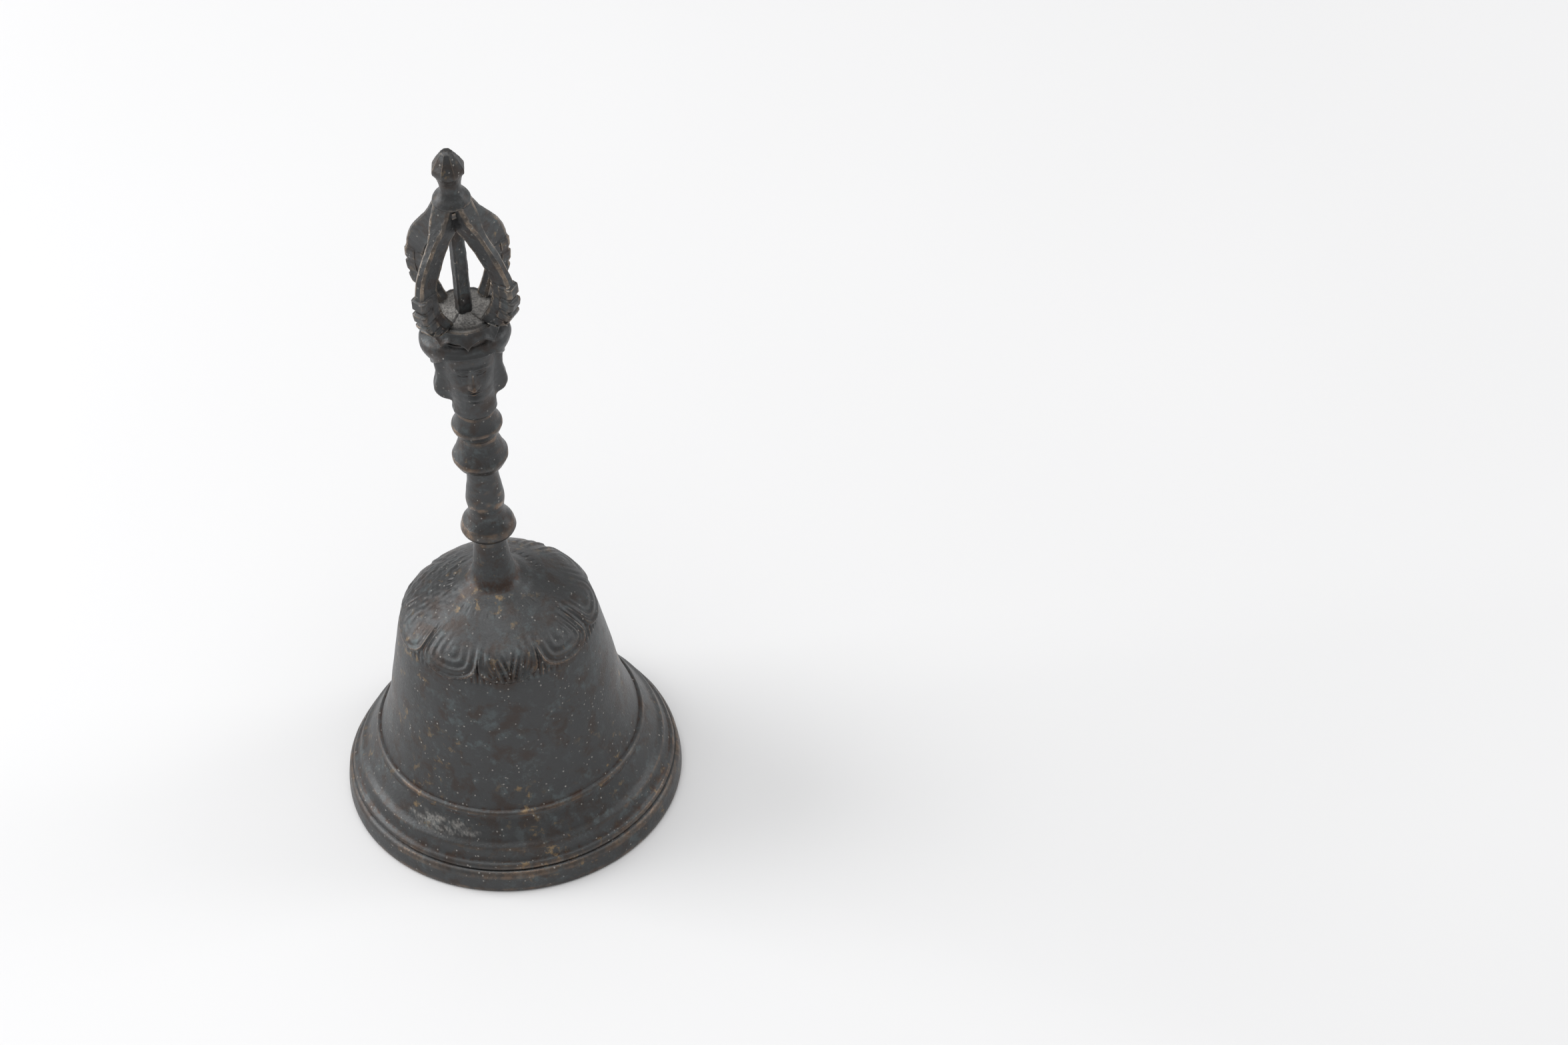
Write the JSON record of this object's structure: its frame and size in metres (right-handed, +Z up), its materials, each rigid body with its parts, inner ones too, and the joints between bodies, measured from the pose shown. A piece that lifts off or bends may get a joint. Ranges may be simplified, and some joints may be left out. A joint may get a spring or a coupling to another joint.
{
  "type": "temple bell",
  "caption": "Bronze temple handbell with a flared cup, a turned handle with a small crowned head, a cage of curved prongs with a bud on top, and a swinging clapper inside.",
  "frame": {"origin": "centre of the bell's rim, on the plane that it stands on", "axes": "+Z up along the handle, -Y to the front, +X to the right"},
  "size_m": [0.0802, 0.0802, 0.1993],
  "materials": {
    "bell_bronze": "dark brown-green patina, worn to copper on the ridges",
    "handle_bronze": "dark grey-green patina with worn rims",
    "vajra_bronze": "dark patina with golden worn ribs and edges",
    "aged_iron": "dark oxidised iron"
  },
  "bodies": {
    "bell": {"bell_body": "bell_bronze", "handle_shaft": "handle_bronze", "lower_bead": "handle_bronze", "upper_bead": "handle_bronze", "mask_head": "handle_bronze", "headdress": "handle_bronze", "vajra_plate": "vajra_bronze", "vajra_prong_front_left": "vajra_bronze", "vajra_prong_front_right": "vajra_bronze", "vajra_prong_back_left": "vajra_bronze", "vajra_prong_back_right": "vajra_bronze", "centre_prong": "vajra_bronze", "finial": "vajra_bronze", "tie_rod": "aged_iron", "crown_washer": "aged_iron", "eye_nut": "aged_iron"},
    "hanger": {"hanger_link": "aged_iron"},
    "clapper": {"clapper_rod": "aged_iron", "clapper_ball": "aged_iron"}
  },
  "joints": [
    {"name": "link_turn", "type": "hinge", "parent": "bell", "child": "hanger", "pos_m": [0, 0, 0.05394], "axis": [0, 0, 1], "range_deg": [-35, 35]},
    {"name": "clapper_swing", "type": "hinge", "parent": "hanger", "child": "clapper", "pos_m": [0, 0, 0.04454], "axis": [0, 1, 0], "range_deg": [-38, 38]}
  ]
}
